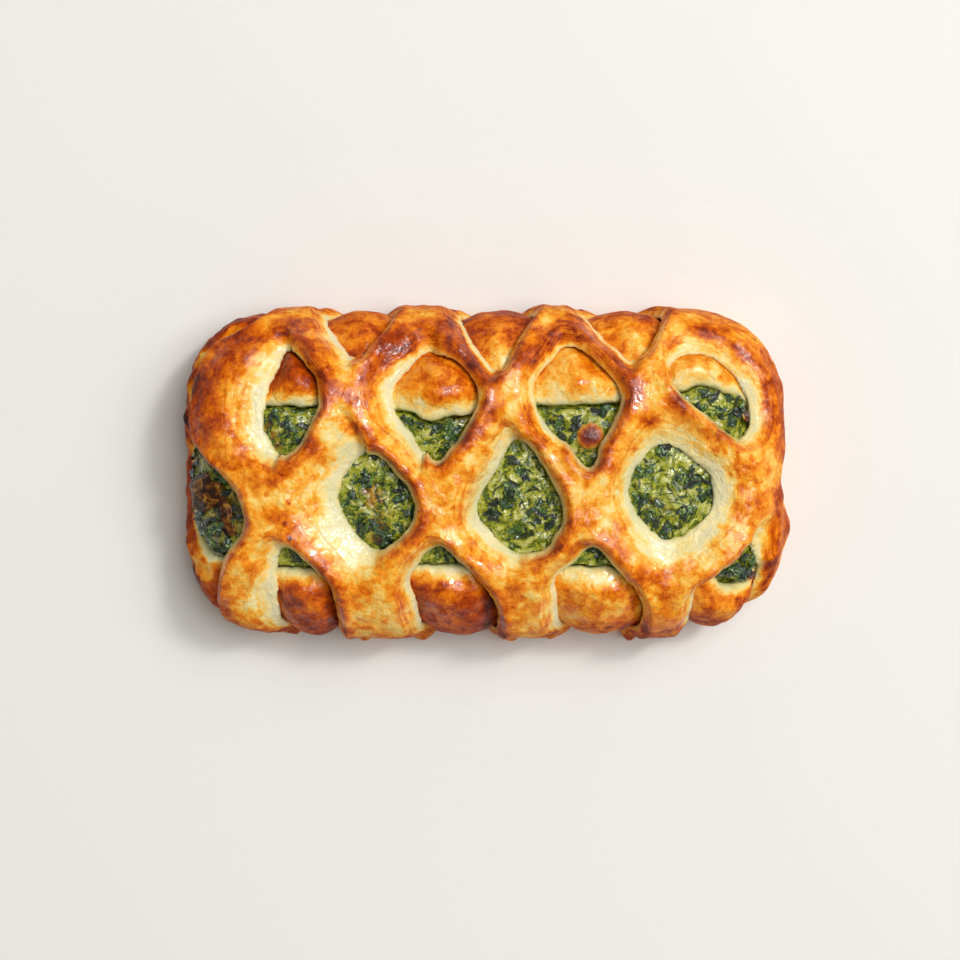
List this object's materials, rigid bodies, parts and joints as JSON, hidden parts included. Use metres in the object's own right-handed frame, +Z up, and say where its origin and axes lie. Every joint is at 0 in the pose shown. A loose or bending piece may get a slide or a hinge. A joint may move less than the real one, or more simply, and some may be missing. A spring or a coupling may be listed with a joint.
{
  "type": "spinach pie",
  "caption": "Loaf-shaped puff pastry parcel filled with spinach and soft cheese, under a lattice of stretched pastry with diamond openings; rests on its flat underside.",
  "frame": {"origin": "middle of the underside, at the centre of the bounding box", "axes": "+X along the length towards the closed right end, +Y towards the back long side, +Z up"},
  "size_m": [0.1488, 0.0826, 0.0369],
  "materials": {
    "filling": "moist spinach and soft cheese, dark green shreds in pale yellow-green",
    "case_pastry": "baked puff pastry, cream to golden brown, egg-glazed on top",
    "lattice_pastry": "baked puff pastry, cream flanks and orange-brown ridges, egg-glazed"
  },
  "bodies": {
    "root": {"filling": "filling", "pastry_case": "case_pastry", "pastry_lattice": "lattice_pastry"}
  },
  "joints": []
}
